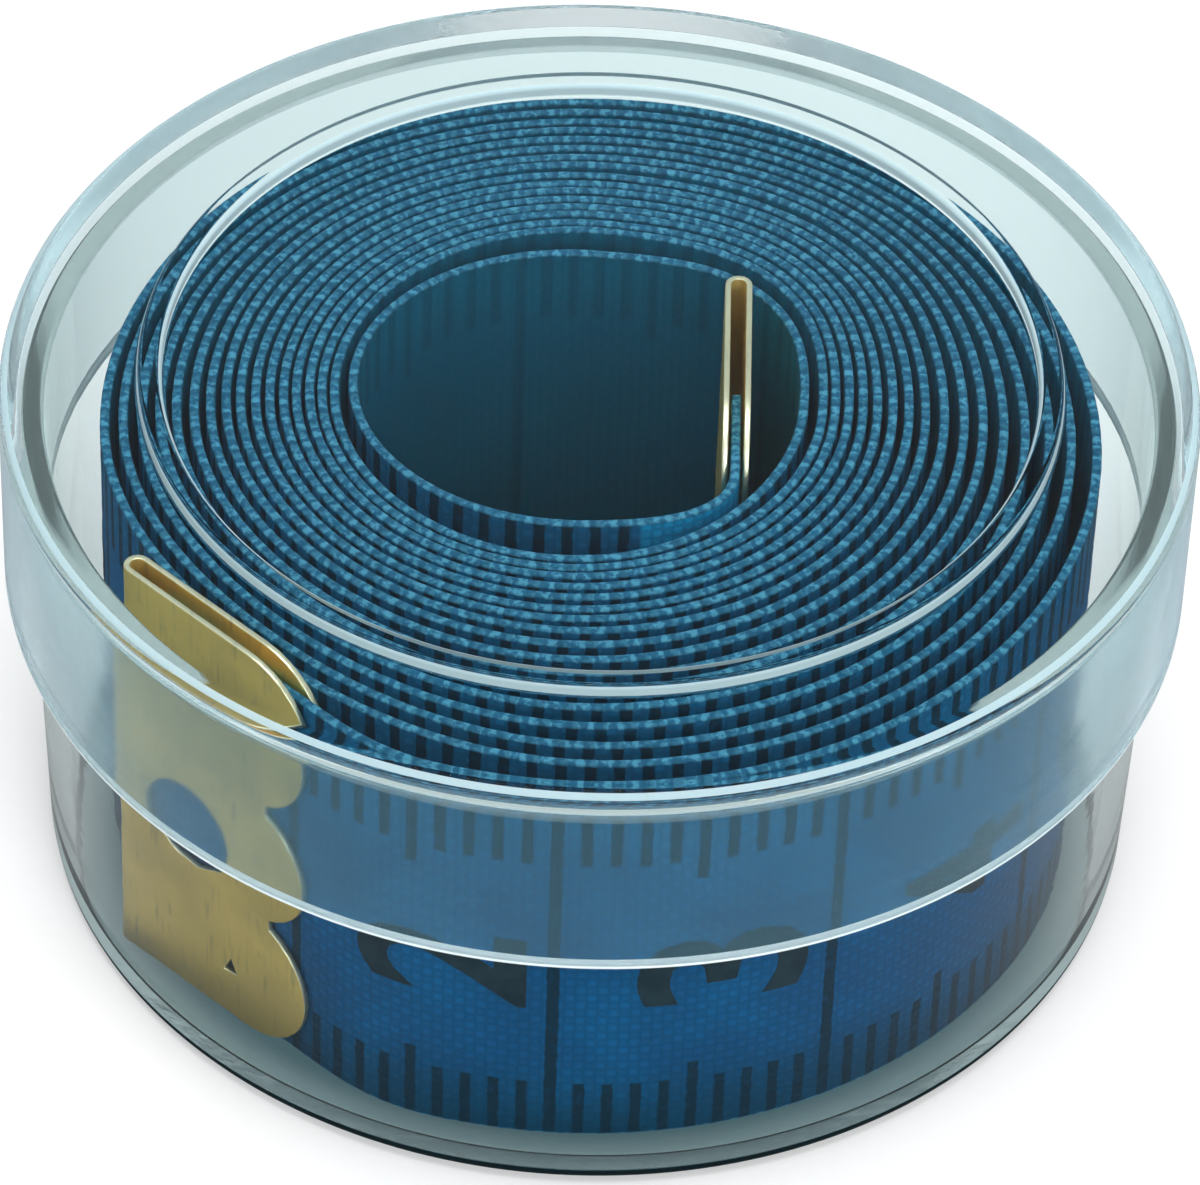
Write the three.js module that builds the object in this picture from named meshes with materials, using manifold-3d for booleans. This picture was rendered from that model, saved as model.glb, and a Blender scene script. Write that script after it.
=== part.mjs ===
// Sewing tape measure wound in a round two-piece clear case.
//
// Millimetres, +Z up. The origin is the middle of the case's underside, and -Y is the front.
// The case is a cup and a press-on lid. The tape is one flat strip wound on itself, with a
// folded sheet-metal clip on each end: the outer clip faces the front left, and the inner
// clip stands across the right of the bore.

import * as THREE from 'three';
import { mergeVertices } from 'three/addons/utils/BufferGeometryUtils.js';
import Module from 'manifold-3d';

const wasm = await Module();
wasm.setup();

// Tape sizes. The clips and the case take their heights from the tape's width.
const tape_width = 16.5;
const tape_thickness = 0.16;
const tape_end_gap = 0.9;

// Case sizes
const lid_radius = 21.6;
const lid_skirt_wall = 0.6;
const lid_skirt_depth = 8.4;
const lid_top_thickness = 1.3;
const lid_edge_round = 0.6;
const ridge_radius = 16.2;
const ridge_width = 0.9;
const ridge_height = 0.5;
const ridge_chamfer = 0.2;
const lid_side_gap = 0.2;
const lid_rim_gap = 0.3;
const roll_floor_gap = 0.3;
const roll_top_gap = 0.4;
const cup_wall = 0.8;
const cup_floor = 0.7;
const cup_draft = 0.6;
const cup_foot_round = 0.8;
const cup_inner_round = 0.4;

// Clip sizes
const clip_length = 9.5;
const clip_overhang = 0.7;
const clip_thickness = 1.0;
const clip_sheet = 0.22;
const clip_lobes = 3;
const clip_notch_depth = 1.8;
const clip_hole_radius = 2.0;
const clip_hole_place = 3.8;
const clip_hole_height = 8.4;
const clip_prick_width = 0.7;
const clip_prick_place = 5.7;
const clip_prick_height = 2.4;
const cut_overrun = 0.5;

// The roll: its outline, its bore and how the turns lie between them
const roll_side_gap = 0.3;
const roll_shift_x = -0.1;
const roll_shift_y = 0.1;
const bore_half_width = 8.0;
const bore_half_depth = 7.35;
const bore_shift_x = -0.7;
const bore_shift_y = 2.0;
const full_turns = 15;
const steps_per_turn = 24;
const clip_turn_gap = 0.3;
const press_half_angle = THREE.MathUtils.degToRad(45);

// Where the clips lie
const outer_clip_heading = THREE.MathUtils.degToRad(-42.2);
const outer_clip_face_gap = 1.25;
const outer_clip_slide_share = 0.653;
const inner_clip_heading = THREE.MathUtils.degToRad(-90);
const inner_clip_side_share = 0.706;
const inner_clip_fold_share = 0.75;
const inner_bend_lead_share = 0.16;
const inner_bend_run_share = 0.26;
const inner_bend_steps = 6;
const roll_start_angle = THREE.MathUtils.degToRad(-85);

const round_segments = 72;
const corner_steps = 4;
const lobe_steps = 8;
const prick_corners = 3;
const least_miter_cosine = 0.5;
const full_circle = 2 * Math.PI;

// Places worked out from the sizes
const clip_height = tape_width + 2 * clip_overhang;
const clip_bottom = cup_floor + roll_floor_gap;
const tape_bottom = clip_bottom + clip_overhang;
const cup_height = clip_bottom + clip_height + roll_top_gap;
const cup_radius = lid_radius - lid_skirt_wall - lid_side_gap;
const cup_foot_radius = cup_radius - cup_draft;
const cup_foot_bore = cup_foot_radius - cup_wall;
const lid_underside = cup_height + lid_rim_gap;
const lid_top = lid_underside + lid_top_thickness;
const lid_skirt_bottom = lid_top - lid_skirt_depth;
const roll_centre = new THREE.Vector2(roll_shift_x, roll_shift_y);
const roll_radius = cup_foot_bore - roll_side_gap - roll_centre.length() - tape_thickness / 2;
const bore_centre = new THREE.Vector2(bore_shift_x, bore_shift_y);

// Materials
const clear_plastic = {
  color: 0xc3d2cf, roughness: 0.12, metalness: 0, transparent: true, opacity: 0.35,
};
const blue_cloth = { color: 0x0a5488, roughness: 0.6, metalness: 0 };
const brass = { color: 0xa8924a, roughness: 0.4, metalness: 0.9 };

// A round corner of an outline: points about a centre, from one angle to another
function corner(centre_x, centre_y, radius, from, to, steps = corner_steps) {
  const points = [];
  for (let i = 0; i <= steps; i += 1) {
    const angle = from + (to - from) * i / steps;
    const x = centre_x + radius * Math.cos(angle);
    const y = centre_y + radius * Math.sin(angle);
    points.push(new THREE.Vector2(x, y));
  }
  return points;
}

// A profile of radius and height turned about the Z axis
function turned(profile) {
  const geometry = new THREE.LatheGeometry(profile, round_segments);
  geometry.rotateX(Math.PI / 2);
  return geometry;
}

// A flat outline in X and Y raised along Z
function raised(outline, height) {
  const shape = new THREE.Shape(outline);
  return new THREE.ExtrudeGeometry(shape, { depth: height, bevelEnabled: false });
}

// Solids for the cuts
function solid(geometry) {
  const bare = geometry.clone();
  bare.deleteAttribute('normal');
  bare.deleteAttribute('uv');
  const merged = mergeVertices(bare);
  const mesh = new wasm.Mesh({
    numProp: 3,
    vertProperties: new Float32Array(merged.attributes.position.array),
    triVerts: new Uint32Array(merged.index.array),
  });
  return new wasm.Manifold(mesh);
}

function geometryOf(manifold) {
  const mesh = manifold.getMesh();
  const geometry = new THREE.BufferGeometry();
  geometry.setAttribute('position', new THREE.BufferAttribute(mesh.vertProperties, 3));
  geometry.setIndex(new THREE.BufferAttribute(mesh.triVerts, 1));
  geometry.computeVertexNormals();
  return geometry;
}

// The cup: a flat floor, a rounded foot and a wall that widens a little towards its rim
function cupGeometry() {
  const profile = [
    new THREE.Vector2(0, 0),
    ...corner(cup_foot_radius - cup_foot_round, cup_foot_round, cup_foot_round, -Math.PI / 2, 0),
    new THREE.Vector2(cup_radius, cup_height),
    new THREE.Vector2(cup_radius - cup_wall, cup_height),
    ...corner(cup_foot_bore - cup_inner_round, cup_floor + cup_inner_round, cup_inner_round,
      0, -Math.PI / 2),
    new THREE.Vector2(0, cup_floor),
  ];
  return turned(profile);
}

// The lid: a flat top with a low ring ridge, a rounded edge and a skirt that covers the cup
function lidGeometry() {
  const ridge_inside = ridge_radius - ridge_width / 2;
  const ridge_outside = ridge_radius + ridge_width / 2;
  const ridge_top = lid_top + ridge_height;
  const skirt_bore = lid_radius - lid_skirt_wall;
  const profile = [
    new THREE.Vector2(0, lid_underside),
    new THREE.Vector2(skirt_bore, lid_underside),
    new THREE.Vector2(skirt_bore, lid_skirt_bottom),
    new THREE.Vector2(lid_radius, lid_skirt_bottom),
    ...corner(lid_radius - lid_edge_round, lid_top - lid_edge_round, lid_edge_round,
      0, Math.PI / 2),
    new THREE.Vector2(ridge_outside, lid_top),
    new THREE.Vector2(ridge_outside, ridge_top - ridge_chamfer),
    new THREE.Vector2(ridge_outside - ridge_chamfer, ridge_top),
    new THREE.Vector2(ridge_inside + ridge_chamfer, ridge_top),
    new THREE.Vector2(ridge_inside, ridge_top - ridge_chamfer),
    new THREE.Vector2(ridge_inside, lid_top),
    new THREE.Vector2(0, lid_top),
  ];
  return turned(profile);
}

// A clip lies along X from its fold at zero, with its front face at Y zero and its foot at Z
// zero. It is a U of sheet metal, cut at its open end to a row of round lobes.
function clipGeometry() {
  const fold_radius = clip_thickness / 2;
  const inner_radius = fold_radius - clip_sheet;
  const reach = clip_length + cut_overrun;
  const section = [
    new THREE.Vector2(reach, 0),
    new THREE.Vector2(reach, clip_sheet),
    ...corner(fold_radius, fold_radius, inner_radius, -Math.PI / 2, -Math.PI * 3 / 2, lobe_steps),
    new THREE.Vector2(reach, clip_thickness - clip_sheet),
    new THREE.Vector2(reach, clip_thickness),
    ...corner(fold_radius, fold_radius, fold_radius, Math.PI / 2, Math.PI * 3 / 2, lobe_steps),
  ];
  const folded = solid(raised(section, clip_height));

  const lobe_radius = clip_height / clip_lobes / 2;
  const lobe_centre = clip_length - lobe_radius;
  const notch_angle = Math.acos(1 - clip_notch_depth / lobe_radius);
  const face = [new THREE.Vector2(-cut_overrun, 0)];
  for (let i = 0; i < clip_lobes; i += 1) {
    const from = i === 0 ? -Math.PI / 2 : -notch_angle;
    const to = i === clip_lobes - 1 ? Math.PI / 2 : notch_angle;
    face.push(...corner(lobe_centre, lobe_radius * (2 * i + 1), lobe_radius, from, to, lobe_steps));
  }
  face.push(new THREE.Vector2(-cut_overrun, clip_height));
  const trimmed = folded.intersect(throughFace(face, clip_thickness));

  const hole = corner(clip_hole_place, clip_hole_height, clip_hole_radius, 0, full_circle,
    steps_per_turn);
  hole.pop();
  const prick = corner(clip_prick_place, clip_prick_height, clip_prick_width / 2, Math.PI / 2,
    Math.PI * 5 / 2, prick_corners);
  prick.pop();
  const front_depth = clip_sheet - cut_overrun;
  const holed = trimmed.subtract(throughFace(hole, front_depth));
  return geometryOf(holed.subtract(throughFace(prick, front_depth)));
}

// A face outline in X and Z, pushed along Y from in front of the face to past a given depth
function throughFace(outline, depth) {
  const geometry = raised(outline, depth + 2 * cut_overrun);
  geometry.rotateX(Math.PI / 2);
  geometry.translate(0, depth + cut_overrun, 0);
  return solid(geometry);
}

// A clip's fold and heading in plan, and a point along it in the middle of its thickness
const outer_clip_direction = new THREE.Vector2(
  Math.cos(outer_clip_heading), Math.sin(outer_clip_heading));
const outer_clip_inward = new THREE.Vector2(-outer_clip_direction.y, outer_clip_direction.x);
const outer_clip_face = cup_foot_bore - outer_clip_face_gap;
const outer_clip_fold = outer_clip_inward.clone().multiplyScalar(-outer_clip_face)
  .addScaledVector(outer_clip_direction, -clip_length * outer_clip_slide_share);
const inner_clip_direction = new THREE.Vector2(
  Math.cos(inner_clip_heading), Math.sin(inner_clip_heading));
const inner_clip_inward = new THREE.Vector2(-inner_clip_direction.y, inner_clip_direction.x);
const inner_clip_fold = new THREE.Vector2(
  bore_centre.x + bore_half_width * inner_clip_side_share - clip_thickness / 2,
  bore_centre.y + bore_half_depth * inner_clip_fold_share);

function inClip(fold, direction, inward, along) {
  return fold.clone().addScaledVector(direction, along)
    .addScaledVector(inward, clip_thickness / 2);
}

// The bore's outline is an ellipse that swells where it has to clear the inner clip's fold.
// The roll's outline is a circle that is pressed in where the outer clip lies on it.
function fromBore(point) {
  return point.clone().sub(bore_centre);
}

function press(angle, about) {
  const away = Math.atan2(Math.sin(angle - about), Math.cos(angle - about));
  const share = Math.min(Math.abs(away) / press_half_angle, 1);
  return Math.cos(share * Math.PI / 2) ** 2;
}

function boreEllipse(angle) {
  const across = Math.cos(angle) / bore_half_width;
  const deep = Math.sin(angle) / bore_half_depth;
  return 1 / Math.hypot(across, deep);
}

function rollCircle(angle) {
  const offset = fromBore(roll_centre);
  const along = offset.x * Math.cos(angle) + offset.y * Math.sin(angle);
  const aside_squared = offset.lengthSq() - along * along;
  return along + Math.sqrt(roll_radius * roll_radius - aside_squared);
}

const outer_mouth = inClip(outer_clip_fold, outer_clip_direction, outer_clip_inward, clip_length);
const roll_end_angle = fromBore(outer_mouth).angle();
const start_to_end = (roll_start_angle - roll_end_angle + 2 * full_circle) % full_circle;
const all_turns = full_turns + start_to_end / full_circle;

function turnsAt(angle, whole_turns) {
  const swept = (roll_start_angle - angle + 2 * full_circle) % full_circle;
  return whole_turns + swept / full_circle;
}

const fold_corner = inner_clip_fold.clone().addScaledVector(inner_clip_inward, clip_thickness);
const fold_angle = fromBore(fold_corner).angle();
const fold_share = turnsAt(fold_angle, 0) / all_turns;
const fold_clear = fromBore(fold_corner).length() + clip_turn_gap + tape_thickness / 2;
const bore_swell = (fold_clear - fold_share * rollCircle(fold_angle)) / (1 - fold_share)
  - boreEllipse(fold_angle);

function boreEdge(angle) {
  return boreEllipse(angle) + bore_swell * press(angle, fold_angle);
}

const press_angle = outer_clip_inward.clone().negate().angle();
const press_share = turnsAt(press_angle, full_turns - 1) / all_turns;
const press_clear = outer_clip_face - clip_thickness - clip_turn_gap - tape_thickness / 2
  + bore_centre.dot(outer_clip_inward);
const press_depth = rollCircle(press_angle)
  - (press_clear - (1 - press_share) * boreEdge(press_angle)) / press_share;

function rollEdge(angle) {
  return rollCircle(angle) - press_depth * press(angle, press_angle);
}

// The tape's route in plan, from its inner end to its outer end: straight in the inner clip,
// round a bend, through the turns of the roll and straight in the outer clip.
function turnPoint(turn) {
  const angle = roll_start_angle - turn * full_circle;
  const reach = THREE.MathUtils.lerp(boreEdge(angle), rollEdge(angle), turn / all_turns);
  return new THREE.Vector2(Math.cos(angle), Math.sin(angle)).multiplyScalar(reach)
    .add(bore_centre);
}

function tapeRoute() {
  const inner_end = inClip(inner_clip_fold, inner_clip_direction, inner_clip_inward,
    clip_thickness / 2 + tape_end_gap);
  const inner_mouth = inClip(inner_clip_fold, inner_clip_direction, inner_clip_inward,
    clip_length);
  const outer_end = inClip(outer_clip_fold, outer_clip_direction, outer_clip_inward,
    clip_thickness / 2 + tape_end_gap);
  const roll_start = turnPoint(0);
  const roll_heading = new THREE.Vector2(Math.sin(roll_start_angle), -Math.cos(roll_start_angle));
  const bend = new THREE.CubicBezierCurve(
    inner_mouth,
    inner_mouth.clone().addScaledVector(inner_clip_direction, clip_length * inner_bend_lead_share),
    roll_start.clone().addScaledVector(roll_heading, -clip_length * inner_bend_run_share),
    roll_start,
  );
  const route = [inner_end, ...bend.getPoints(inner_bend_steps)];
  const turn_steps = Math.floor(all_turns * steps_per_turn);
  for (let i = 1; i < turn_steps; i += 1) {
    route.push(turnPoint(i / steps_per_turn));
  }
  route.push(outer_mouth, outer_end);
  return route;
}

// The strip's two long sides, each half a thickness from the route
function stripOutline(route) {
  const left = [];
  const right = [];
  route.forEach((point, i) => {
    const before = route[Math.max(i - 1, 0)];
    const after = route[Math.min(i + 1, route.length - 1)];
    const into = point.clone().sub(before).normalize();
    const out = after.clone().sub(point).normalize();
    const heading = into.clone().add(out).normalize();
    const cosine = Math.max(heading.dot(i === 0 ? out : into), least_miter_cosine);
    const side = new THREE.Vector2(-heading.y, heading.x);
    const half = tape_thickness / 2 / cosine;
    left.push(point.clone().addScaledVector(side, half));
    right.push(point.clone().addScaledVector(side, -half));
  });
  return [...left, ...right.reverse()];
}

// The least clear gap between any two stretches of the strip that lie beside each other
function leastGap(route) {
  const same_stretch = bore_half_width;
  const travelled = [0];
  for (let i = 1; i < route.length; i += 1) {
    travelled.push(travelled[i - 1] + route[i].distanceTo(route[i - 1]));
  }
  let least = Infinity;
  const nearest = new THREE.Vector3();
  const line = new THREE.Line3();
  route.forEach((point, i) => {
    for (let j = 1; j < route.length; j += 1) {
      const apart = Math.min(
        Math.abs(travelled[i] - travelled[j]), Math.abs(travelled[i] - travelled[j - 1]));
      if (apart < same_stretch) {
        continue;
      }
      line.start.set(route[j - 1].x, route[j - 1].y, 0);
      line.end.set(route[j].x, route[j].y, 0);
      const here = new THREE.Vector3(point.x, point.y, 0);
      line.closestPointToPoint(here, true, nearest);
      least = Math.min(least, nearest.distanceTo(here) - tape_thickness);
    }
  });
  return { least, length: travelled[travelled.length - 1] };
}

const tape_route = tapeRoute();
const measured = leastGap(tape_route);
console.log(`tape: ${all_turns.toFixed(2)} turns, ${measured.length.toFixed(0)} mm long, `
  + `least gap between turns ${measured.least.toFixed(3)} mm`);

// The parts
function part(name, geometry, look) {
  const mesh = new THREE.Mesh(geometry, new THREE.MeshStandardMaterial(look));
  mesh.name = name;
  return mesh;
}

function placedClip(name, fold, heading) {
  const clip = part(name, clipGeometry(), brass);
  clip.position.set(fold.x, fold.y, clip_bottom);
  clip.rotation.z = heading;
  return clip;
}

const tape = part('tape', raised(stripOutline(tape_route), tape_width), blue_cloth);
tape.position.z = tape_bottom;

const roll = new THREE.Group();
roll.add(
  tape,
  placedClip('clip_outer_end', outer_clip_fold, outer_clip_heading),
  placedClip('clip_inner_end', inner_clip_fold, inner_clip_heading),
);

const tape_measure = new THREE.Group();
tape_measure.name = 'cloth_tape_measure';
tape_measure.add(
  part('case_cup', cupGeometry(), clear_plastic),
  part('case_lid', lidGeometry(), clear_plastic),
  roll,
);

export default tape_measure;
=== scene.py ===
"""A sewing tape measure: printed cloth wound flat, with a folded brass clip on each end, in a
round clear case of a cup and a press-on lid. Lengths below are in millimetres and are made metres
as each mesh is built. The camera, lamps and floor are in metres."""

import math

import bmesh
import bpy
from mathutils import Matrix, Vector, noise
from mathutils.geometry import delaunay_2d_cdt


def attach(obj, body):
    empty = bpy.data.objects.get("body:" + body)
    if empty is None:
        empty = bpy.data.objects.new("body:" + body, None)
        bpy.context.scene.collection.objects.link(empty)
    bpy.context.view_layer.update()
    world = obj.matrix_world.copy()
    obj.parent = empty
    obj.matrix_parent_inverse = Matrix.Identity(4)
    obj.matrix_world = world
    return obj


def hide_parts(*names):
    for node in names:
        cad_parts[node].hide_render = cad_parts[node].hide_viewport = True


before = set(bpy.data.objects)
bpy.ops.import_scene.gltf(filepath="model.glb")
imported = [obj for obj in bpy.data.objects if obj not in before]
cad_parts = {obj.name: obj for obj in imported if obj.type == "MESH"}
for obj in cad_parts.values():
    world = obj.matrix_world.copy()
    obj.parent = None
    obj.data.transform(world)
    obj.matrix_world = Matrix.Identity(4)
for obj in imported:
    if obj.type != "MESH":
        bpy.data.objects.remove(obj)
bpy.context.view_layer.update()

MM = 0.001

# Case sizes
LID_RADIUS = 21.6
LID_TOP = 20.9
LID_UNDERSIDE = 19.6
LID_SKIRT_BOTTOM = 12.5
LID_SKIRT_WALL = 0.6
RIDGE_RADIUS = 16.2
RIDGE_WIDTH = 0.9
RIDGE_HEIGHT = 0.5
CUP_RIM_RADIUS = 20.8
CUP_FOOT_RADIUS = 20.2
CUP_HEIGHT = 19.3
CUP_WALL = 0.8
CUP_FLOOR = 0.7

# Rounded corners of the case
CUP_FOOT_ROUND = 0.8
CUP_RIM_ROUND = 0.16
CUP_CORNER_ROUND = 0.4
LID_EDGE_ROUND = 0.6
SKIRT_EDGE_ROUND = 0.2
SKIRT_BORE_ROUND = 0.12
SKIRT_END = 0.5
RIDGE_ROUND = 0.2
RIDGE_FOOT_ROUND = 0.08

# Bands of the case with a finish of their own: painted shade at the cup's rim and foot and a
# painted shadow ring under the roll, a painted shadow line low on the foot, painted highlights on
# the lid's top edge, ridge and skirt edge, and the skirt's rougher skin with its blue sheen
RIM_SHADE_BAND = 0.25
FOOT_SHADE_BAND = 1.0
FOOT_SHADOW_LINE_BAND = 0.78
SKIRT_HIGHLIGHT_BAND = 0.22
SKIRT_FROM_RADIUS = 20.5
HIGHLIGHT_FROM_RADIUS = 21.0
ROLL_SHADE_INNER = (14.5, 16.8)
ROLL_SHADE_OUTER = (17.4, 19.5)

# Clip sizes
CLIP_LENGTH = 9.5
CLIP_HEIGHT = 17.9
CLIP_THICKNESS = 1.0
CLIP_SHEET = 0.22
CLIP_LOBES = 3
CLIP_NOTCH_DEPTH = 1.8
CLIP_HOLE = (3.8, 8.4, 2.0)
CLIP_PRICK = (5.7, 2.4, 0.4)
CLIP_BOTTOM = 1.0
CLIP_HOLE_TEAR = 0.28
CLIP_SOFT_EDGE = 0.035
CLIP_CLEARANCE = 0.12
OUTER_CLIP_HEADING = math.radians(-42.2)
OUTER_CLIP_FACE = 18.05
OUTER_CLIP_SLIDE = 6.2
INNER_CLIP_FOLD = Vector((4.453, 7.5125))
INNER_CLIP_HEADING = math.radians(-90)

# Steps that a clip's outline and inside are drawn in
LOBE_STEPS = 14
HOLE_STEPS = 40
PLATE_STEPS = 9
FOLD_STEPS = 4
FOLD_ROWS = 30
PLATE_ROWS = 18
CLEAR_OF_OUTLINE = 0.25

# Tape and roll sizes
TAPE_WIDTH = 16.9
TAPE_THICKNESS = 0.34
TAPE_EDGE_ROUND = 0.09
TAPE_BOTTOM = 1.02
TAPE_END_GAP = 0.9
INNER_END_GAP = 5.0
TURNS = 17.05
STEPS_PER_TURN = 120
ROLL_START = math.radians(-85)
ROLL_POLE = Vector((-0.9, 2.3))
ROLL_OUTSIDE = (Vector((-0.08, 0.21)), 18.38, 18.65)
INNERMOST = (Vector((-0.88, 2.28)), 8.12, 7.4)
PACKED = (Vector((-0.9, 1.9)), 8.65, 8.85)
PACKED_PITCH = 0.44
LOOSENING = 2.2
FOLD_BULGE = (0.78, 0.70)
FIRST_TURN_EASE = 0.62
PRESS_FADE = (0.75, 0.45)
FOLD_WINDOW = math.radians(45)
PRESS_WINDOW = math.radians(44)
ROW_SWAY = 0.22
HEIGHT_SWAY = 0.13
UNPRINTED_TAIL = 8.9
PRINT_LEAD = 1.25

# Print sizes
DIGIT_LENGTH = 6.2
DIGIT_WIDTH = 3.6
DIGIT_GAP = 0.92
DIGIT_CENTRE = 9.25
INK_LIFT = 0.015
INK_THICKNESS = 0.01
NUMBERS = range(2, 13)

# Camera, its lengths in metres
CAMERA_ELEVATION = math.radians(44.803)
CAMERA_ROLL = math.radians(2.125)
CAMERA_DISTANCE = 0.27
CAMERA_AIM_RIGHT = 0.000264
CAMERA_AIM_UP = 0.007388
CAMERA_LENS = 213.59


# Small helpers for meshes and placing

def smoothstep(low, high, value):
    share = min(max((value - low) / (high - low), 0.0), 1.0)
    return share * share * (3 - 2 * share)


def piece_from_bmesh(name, shell, material, smooth=True):
    mesh = bpy.data.meshes.new(name)
    shell.to_mesh(mesh)
    shell.free()
    for polygon in mesh.polygons:
        polygon.use_smooth = smooth
    mesh.materials.append(material)
    made = bpy.data.objects.new(name, mesh)
    bpy.context.scene.collection.objects.link(made)
    return made


def plain_copy(working, name):
    """The evaluated object as a plain mesh in a new object, and the working object removed."""
    view = bpy.context.evaluated_depsgraph_get()
    mesh = bpy.data.meshes.new_from_object(working.evaluated_get(view))
    mesh.name = name
    bpy.data.objects.remove(working)
    made = bpy.data.objects.new(name, mesh)
    bpy.context.scene.collection.objects.link(made)
    return made


# Node helpers

class Wiring:
    """Adds nodes to a tree and links them by socket name."""

    def __init__(self, tree):
        self.tree = tree
        self.column = 0

    def add(self, kind, inputs=None, **settings):
        node = self.tree.nodes.new(kind)
        for key, value in settings.items():
            setattr(node, key, value)
        node.location = (self.column * 180, -(self.column % 3) * 220)
        self.column += 1
        for key, value in (inputs or {}).items():
            self.feed(node, key, value)
        return node

    def feed(self, node, key, value):
        socket = node.inputs[key]
        if isinstance(value, bpy.types.NodeSocket):
            self.tree.links.new(value, socket)
        elif isinstance(value, bpy.types.Node):
            self.tree.links.new(value.outputs[0], socket)
        else:
            socket.default_value = value

    def math(self, operation, first, second=None):
        values = {0: first} if second is None else {0: first, 1: second}
        return self.add("ShaderNodeMath", values, operation=operation).outputs[0]

    def blend(self, share, low, high):
        node = self.add("ShaderNodeMix", data_type="RGBA")
        self.feed(node, 0, share)
        self.feed(node, 6, low)
        self.feed(node, 7, high)
        return node.outputs[2]

    def ramp(self, value, low, high, to_low=0.0, to_high=1.0):
        node = self.add("ShaderNodeMapRange", {
            "Value": value, "From Min": low, "From Max": high, "To Min": to_low, "To Max": to_high,
        }, interpolation_type="SMOOTHSTEP")
        return node.outputs[0]


def shader_group(name, inputs, outputs):
    tree = bpy.data.node_groups.new(name, "ShaderNodeTree")
    for label, kind, default in inputs:
        socket = tree.interface.new_socket(label, in_out="INPUT", socket_type=kind)
        socket.default_value = default
    for label, kind in outputs:
        tree.interface.new_socket(label, in_out="OUTPUT", socket_type=kind)
    wires = Wiring(tree)
    return tree, wires, wires.add("NodeGroupInput"), wires.add("NodeGroupOutput")


def new_material(name):
    material = bpy.data.materials.new(name)
    material.use_nodes = True
    material.node_tree.nodes.clear()
    wires = Wiring(material.node_tree)
    surface = wires.add("ShaderNodeBsdfPrincipled")
    wires.add("ShaderNodeOutputMaterial", {"Surface": surface})
    return material, wires, surface


def placed_group(wires, tree, inputs):
    node = wires.add("ShaderNodeGroup")
    node.node_tree = tree
    for key, value in inputs.items():
        wires.feed(node, key, value)
    return node


# Effects that several finishes share

def make_fine_wear():
    """Small scattered scuffs and a faint unevenness, as a mask and a height."""
    tree, wires, given, made = shader_group(
        "fine_wear",
        [("Place", "NodeSocketVector", (0, 0, 0)), ("Scale", "NodeSocketFloat", 900.0),
         ("Spread", "NodeSocketFloat", 0.55)],
        [("Mask", "NodeSocketFloat"), ("Height", "NodeSocketFloat")])
    broad = wires.add("ShaderNodeTexNoise", {
        "Vector": given.outputs["Place"], "Scale": given.outputs["Scale"], "Detail": 3.0})
    stretched = wires.add("ShaderNodeMapping", {
        "Vector": given.outputs["Place"], "Scale": (6.0, 1.0, 0.35), "Rotation": (0.4, 0.2, 0.9)})
    streaks = wires.add("ShaderNodeTexNoise", {
        "Vector": stretched.outputs[0], "Scale": given.outputs["Scale"], "Detail": 2.0})
    scuffs = wires.ramp(streaks.outputs[0], given.outputs["Spread"],
                        wires.math("ADD", given.outputs["Spread"], 0.2))
    patches = wires.ramp(broad.outputs[0], 0.4, 0.7)
    wires.feed(made, "Mask", wires.math("MULTIPLY", scuffs, patches))
    wires.feed(made, "Height", broad.outputs[0])
    return tree


def make_plain_weave():
    """Threads over and under each other, as a height, from two lengths in millimetres."""
    tree, wires, given, made = shader_group(
        "plain_weave",
        [("Along", "NodeSocketFloat", 0.0), ("Across", "NodeSocketFloat", 0.0),
         ("Threads", "NodeSocketFloat", 2.6)],
        [("Height", "NodeSocketFloat")])
    turns = wires.math("MULTIPLY", given.outputs["Threads"], math.pi)
    along = wires.math("SINE", wires.math("MULTIPLY", given.outputs["Along"], turns))
    across = wires.math("SINE", wires.math("MULTIPLY", given.outputs["Across"], turns))
    over = wires.math("MULTIPLY", along, across)
    groove = wires.math("MINIMUM", wires.math("ABSOLUTE", along), wires.math("ABSOLUTE", across))
    height = wires.math("ADD", wires.math("MULTIPLY", over, 0.35),
                        wires.math("MULTIPLY", groove, 0.9))
    wires.feed(made, "Height", height)
    return tree


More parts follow.
